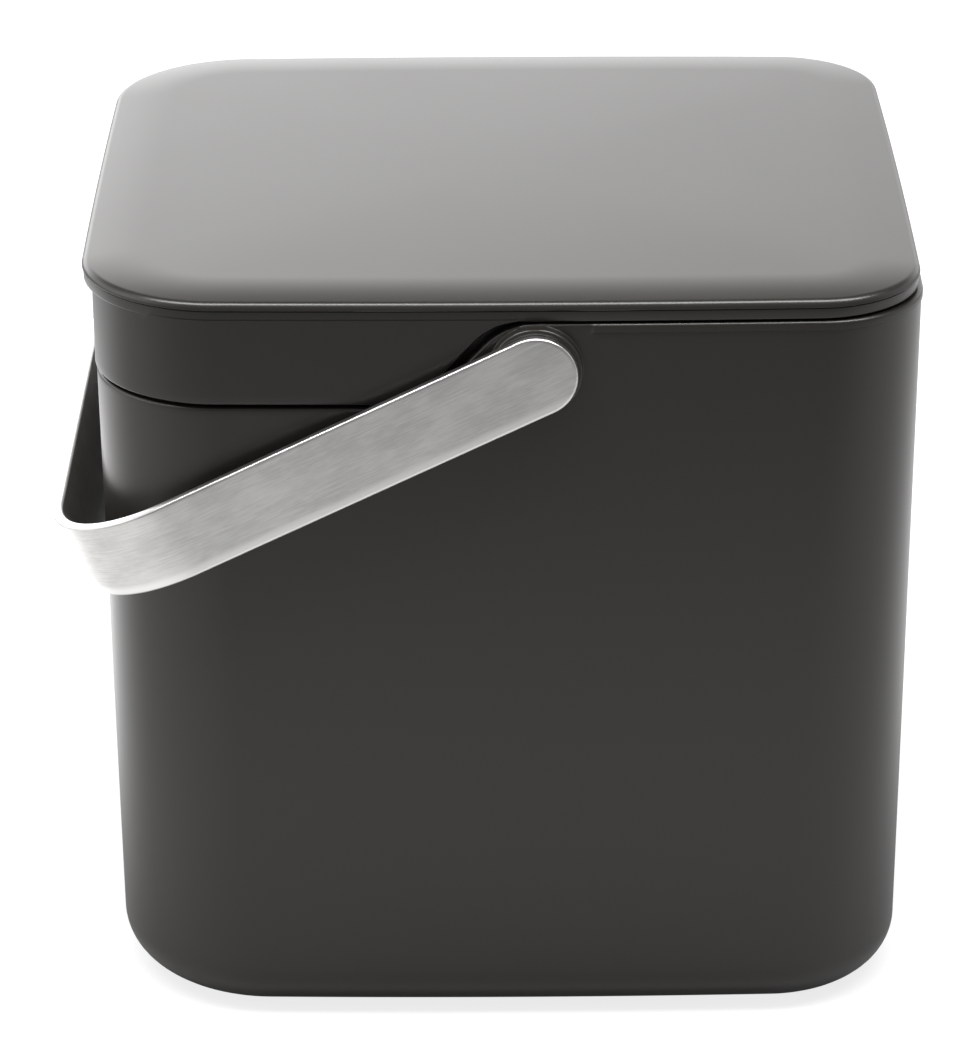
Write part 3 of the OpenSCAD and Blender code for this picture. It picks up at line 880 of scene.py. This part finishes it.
def build_strap(h, material):
    """The handle: rings round the strap, each a distance d in from its edge. Out from the middle line a ring lies at
    half the thickness, less e - sqrt(e^2 - (e - d)^2) within e of the edge, which rounds both edges. The flat strap
    is then bent round the U and turned down to rest."""
    bend, front, arm = strap_line(h)
    long = front + bend * np.pi / 2 + arm
    r, e = h.width / 2, h.edge_r
    rounded = e * (1 - np.cos(np.radians(np.linspace(0, 90, 8))))
    d = np.concatenate([rounded, [0.0011, 0.0016, 0.0026, 0.0042, 0.0062, 0.0082, r]])
    out = h.thick / 2 - (e - np.sqrt(np.maximum(e**2 - np.maximum(e - d, 0) ** 2, 0)))
    d, out = np.concatenate([d[::-1], d]), np.concatenate([-out[::-1], out])
    rings, flats = [], []
    c, s = np.cos(h.rest), np.sin(h.rest)
    for inset, off in zip(d, out):
        flat = stadium(long, r, inset, 260, 40)
        x, y = bent(h, flat[:, 0], off)
        z = flat[:, 1]
        rings.append(np.column_stack([x, PIVOT.y + y * c - z * s, PIVOT.z + y * s + z * c]))
        flats.append(flat)
    rings, flats = np.array(rings), np.array(flats)
    rows, cols = rings.shape[:2]
    sharp = 60
    strap = new_piece("caddy_handle_strap", rings.reshape(-1, 3), grid_quads(rows, cols).tolist(), sharp)
    layer = strap.data.uv_layers.new(name="Strap")
    corners = np.zeros(len(strap.data.loops), int)
    strap.data.loops.foreach_get("vertex_index", corners)
    layer.data.foreach_set("uv", flats.reshape(-1, 2)[corners].astype(np.float32).ravel())
    mesh = bmesh.new()
    mesh.from_mesh(strap.data)
    bmesh.ops.remove_doubles(mesh, verts=mesh.verts, dist=1e-7)
    mesh.to_mesh(strap.data)
    mesh.free()
    outward(strap)
    smooth(strap, sharp)
    finish_piece(strap, "handle", "handle_strap", material)


# ---- Stage ----


def softbox(name, place, aim, size, level):
    """An area lamp of a radiance: its power is level times its area times pi, so level 1 looks white in a mirror."""
    lamp = bpy.data.lights.new(name, "AREA")
    lamp.shape, lamp.size, lamp.size_y = "RECTANGLE", *size
    lamp.energy = level * size[0] * size[1] * np.pi
    thing = bpy.data.objects.new(name, lamp)
    thing.location = place
    thing.rotation_mode = "QUATERNION"
    thing.rotation_quaternion = (Vector(aim) - Vector(place)).to_track_quat("-Z", "Y")
    thing.visible_camera = False
    bpy.context.scene.collection.objects.link(thing)


def ray_kinds(f):
    """What looks at the surface: for the camera, a mirror and clear glass, a value that is 1 for it and else 0."""
    rays = f.node("ShaderNodeLightPath").socket.node.outputs
    return {name: Value(f, rays[f"Is {name} Ray"]) for name in ("Camera", "Glossy", "Transmission")}


def studio_world():
    """White for the camera. For light and reflections the level changes with direction: a wide low window at the
    caddy's left, brightest towards its front, a bright wall in front of it, and a room that dims towards the camera's
    side and overhead."""
    world = bpy.data.worlds.new("Studio")
    world.use_nodes = True
    bpy.context.scene.world = world
    f = Finish("", world.node_tree)
    way = f.node("ShaderNodeTexCoord", output=0)
    x, y, z = (f.axis(way, k) for k in range(3))
    room = f.ramp(x, -0.35, 0.85, 1.0, 0.28) * (1 - f.ramp(z, 0.38, 0.52, 0, 1) * f.ramp(x, 0.25, -0.25, 0, 0.85))
    front_wall = f.ramp(y, -0.45, -0.95, 0.0, 0.9)
    window = f.ramp(x, -0.55, -0.80, 0, 1) * f.ramp(z, 0.50, 0.40, 0, 1) * f.ramp(y, -0.3, 0.3, 2.75, 0.9)
    rays = ray_kinds(f)
    seen = rays["Camera"] + rays["Transmission"]
    level = (room + front_wall + window) * (1 - seen) + seen
    back = f.node("ShaderNodeBackground", {}, {"Color": (1, 1, 1, 1), "Strength": level})
    f.node("ShaderNodeOutputWorld", {}, {"Surface": back})


def floor_material():
    """Pale floor: it holds the caddy's soft shadow from the lamps, and looks white to the camera. Its colour carries
    painted shade: darker close to the caddy, and in mirrors also darker towards the camera and behind the caddy. In
    mirrors it glows with a painted reflection that is bright in front of the caddy and at its back, and dims towards
    the camera, far out at the caddy's left, and close to the caddy."""
    f = Finish("floor_pale")
    rays = ray_kinds(f)
    place = f.node("ShaderNodeNewGeometry", output=0)
    x, y = (f.axis(place, k) for k in range(2))
    open_sky = f.node("ShaderNodeAmbientOcclusion", {"samples": 6}, {"Distance": 0.10}, output=1)
    far = f.ramp(x, 0.22, 0.60, 0, 1)
    behind = f.ramp(x, -0.18, -0.42, 0, 1)
    front = f.ramp(y, -0.10, -0.16, 0, 1) * f.ramp(y, -0.22, -0.50, 1, 0.3)
    front = front * f.ramp(x, 0.08, -0.18, 0.10, 1.8) * (1 - behind * 0.8)
    back = f.ramp(y, 0.10, 0.20, 0, 1) * f.ramp(y, 0.25, 0.50, 1, 0.3) * f.ramp(x, 0.10, -0.15, 0.0, 0.55)
    # Painted reflection: for mirrors the floor glows at this level, bright in front of and behind the caddy, dimmer
    # towards the camera, and darkened next to the caddy by open_sky.
    mirrored_level = 0.32 - far * 0.22 + front + back
    seen = (rays["Camera"] + rays["Transmission"]) * 0.8 + rays["Glossy"] * mirrored_level * open_sky
    # Painted shade: in mirrors the floor's colour darkens towards the camera and behind the caddy.
    mirrored_dim = (far * 0.75 + behind * 0.6) * rays["Glossy"]
    # Painted shade: the floor's colour darkens where the caddy hems it in, by the ambient occlusion in open_sky.
    floor_tone_with_painted_shade = f.shade(open_sky * (1 - mirrored_dim), (0.08, 0.08, 0.08), (0.34, 0.34, 0.337))
    diffuse = f.node("ShaderNodeBsdfDiffuse", {}, {"Color": floor_tone_with_painted_shade})
    glow = f.node("ShaderNodeEmission", {}, {"Color": (1, 1, 1, 1), "Strength": seen})
    both = f.node("ShaderNodeAddShader", {}, {0: diffuse, 1: glow})
    f.node("ShaderNodeOutputMaterial", {}, {"Surface": both})
    return f.material


def build_stage(s):
    """The floor, a square just under the caddy, with the world, the softboxes and the camera. The camera looks along
    -X, down by its pitch p: its right is +Y, its up (-sin p, 0, cos p) and its back (cos p, 0, sin p)."""
    corners = [(-1, -1, 0), (1, -1, 0), (1, 1, 0), (-1, 1, 0)]
    points = np.array(corners, float) * STAGE_HALF - (0, 0, STAGE_SINK)
    floor = new_piece("stage_floor", points, [[0, 1, 2, 3]])
    floor.data.materials.append(floor_material())

    studio_world()
    for name, place, aim, size, level in SOFTBOXES:
        softbox(name, place, aim, size, level * s.lamp)

    lens = bpy.data.cameras.new("camera")
    lens.lens, lens.sensor_width, lens.clip_end = s.focal, 36, 100
    camera = bpy.data.objects.new("camera", lens)
    p = s.pitch
    look = Matrix(((0, -np.sin(p), np.cos(p)), (1, 0, 0), (0, np.cos(p), np.sin(p))))
    turn = look @ Matrix.Rotation(s.roll, 3, "Z")
    camera.matrix_world = Matrix.Translation((s.distance, s.along, s.height)) @ turn.to_4x4()
    bpy.context.scene.collection.objects.link(camera)
    bpy.context.scene.camera = camera
    bpy.context.scene.view_settings.view_transform = "Standard"


# ---- Operators ----


class CADDY_OT_bucket(bpy.types.Operator):
    """Build the moulded bucket with its stepped rim, bosses and hinge ears"""

    bl_idname = "caddy.bucket"
    bl_label = "Bucket"

    def execute(self, context):
        scene = context.scene
        finish = scene.caddy_finish
        build_bucket(scene.caddy_bucket, moulded_plastic("bucket_satin", finish.bucket, finish.plastic_rough))
        return {"FINISHED"}


class CADDY_OT_lid(bpy.types.Operator):
    """Build the lid's pillowed cover and its frame with the front skirt"""

    bl_idname = "caddy.lid"
    bl_label = "Lid"

    def execute(self, context):
        scene = context.scene
        finish, sizes = scene.caddy_finish, (scene.caddy_bucket, scene.caddy_lid)
        build_cover(*sizes, moulded_plastic("cover_satin", finish.cover, finish.plastic_rough - 0.02, 0.03))
        build_frame(*sizes, moulded_plastic("frame_satin", finish.lid_frame, finish.plastic_rough))
        return {"FINISHED"}


class CADDY_OT_handle(bpy.types.Operator):
    """Build the brushed steel strap that swings over the caddy"""

    bl_idname = "caddy.handle"
    bl_label = "Handle"

    def execute(self, context):
        handle, finish = context.scene.caddy_handle, context.scene.caddy_finish
        build_strap(handle, brushed_steel("strap_brushed", finish.steel, finish.steel_rough, handle.width / 2))
        return {"FINISHED"}


class CADDY_OT_fittings(bpy.types.Operator):
    """Give the pivot studs, their caps and the hinge pins their finishes"""

    bl_idname = "caddy.fittings"
    bl_label = "Fittings"

    def execute(self, context):
        finish = context.scene.caddy_finish
        steel = turned_steel("pin_turned", finish.pin, 0.28)
        plastic = moulded_plastic("cap_satin", finish.lid_frame, finish.plastic_rough)
        for names, material in ((STEEL_NODES, steel), (CAP_NODES, plastic)):
            for name in names:
                mesh = frame["nodes"][name].data
                mesh.materials.clear()
                mesh.materials.append(material)
        return {"FINISHED"}


class CADDY_OT_stage(bpy.types.Operator):
    """Set the pale floor, the soft studio light and the camera"""

    bl_idname = "caddy.stage"
    bl_label = "Stage"

    def execute(self, context):
        build_stage(context.scene.caddy_stage)
        return {"FINISHED"}


class CADDY_PT_panel(bpy.types.Panel):
    """The caddy's sizes, finishes and steps"""

    bl_idname = "CADDY_PT_panel"
    bl_label = "Compost Caddy"
    bl_space_type = "VIEW_3D"
    bl_region_type = "UI"
    bl_category = "Caddy"

    def draw(self, context):
        for step in STEPS:
            self.layout.operator(step.bl_idname)
        for name, group in GROUPS.items():
            box = self.layout.box()
            for key in group.__annotations__:
                box.prop(getattr(context.scene, name), key)


STEPS = (CADDY_OT_bucket, CADDY_OT_lid, CADDY_OT_handle, CADDY_OT_fittings, CADDY_OT_stage)


def register():
    for cls in (*GROUPS.values(), *STEPS, CADDY_PT_panel):
        bpy.utils.register_class(cls)
    for name, group in GROUPS.items():
        setattr(bpy.types.Scene, name, bpy.props.PointerProperty(type=group))


def unregister():
    for name in GROUPS:
        delattr(bpy.types.Scene, name)
    for cls in reversed((*GROUPS.values(), *STEPS, CADDY_PT_panel)):
        bpy.utils.unregister_class(cls)


def main():
    """Registers the caddy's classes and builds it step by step."""
    register()
    bpy.ops.caddy.bucket()
    bpy.ops.caddy.lid()
    bpy.ops.caddy.handle()
    bpy.ops.caddy.fittings()
    bpy.ops.caddy.stage()


if __name__ == "__main__":
    main()
